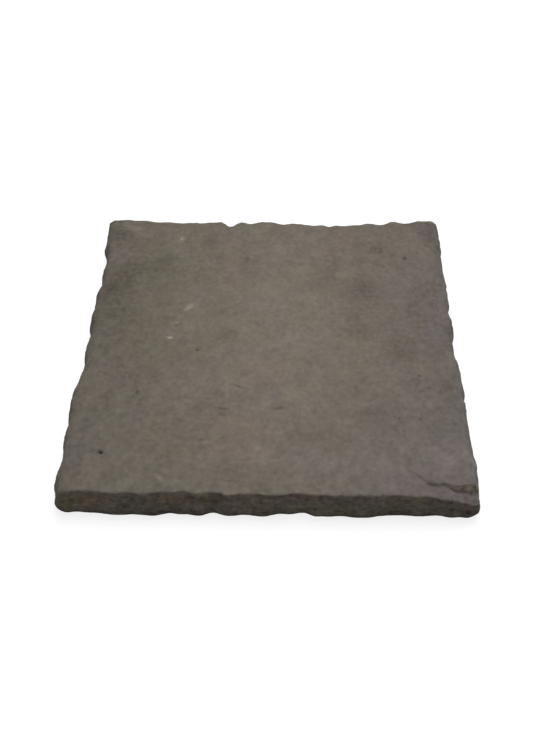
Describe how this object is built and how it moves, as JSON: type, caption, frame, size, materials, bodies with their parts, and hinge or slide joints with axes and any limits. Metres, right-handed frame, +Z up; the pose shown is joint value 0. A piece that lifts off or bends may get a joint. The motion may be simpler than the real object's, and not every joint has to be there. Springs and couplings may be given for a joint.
{
  "type": "paving slab",
  "caption": "Square riven concrete paving slab with hand-dressed edges, a rolled arris and a chipped corner, for patios and paths.",
  "frame": {"origin": "centre of the flat bed face that the slab rests on", "axes": "+Z up through the thickness, to the riven face; +X to the right along the front edge; +Y away from the front edge, which has the broken corner at its right end"},
  "size_m": [0.4494, 0.4489, 0.038],
  "materials": {
    "concrete": "matt brown-grey wet-cast concrete with a riven face"
  },
  "bodies": {
    "root": {"slab": "concrete"}
  },
  "joints": []
}
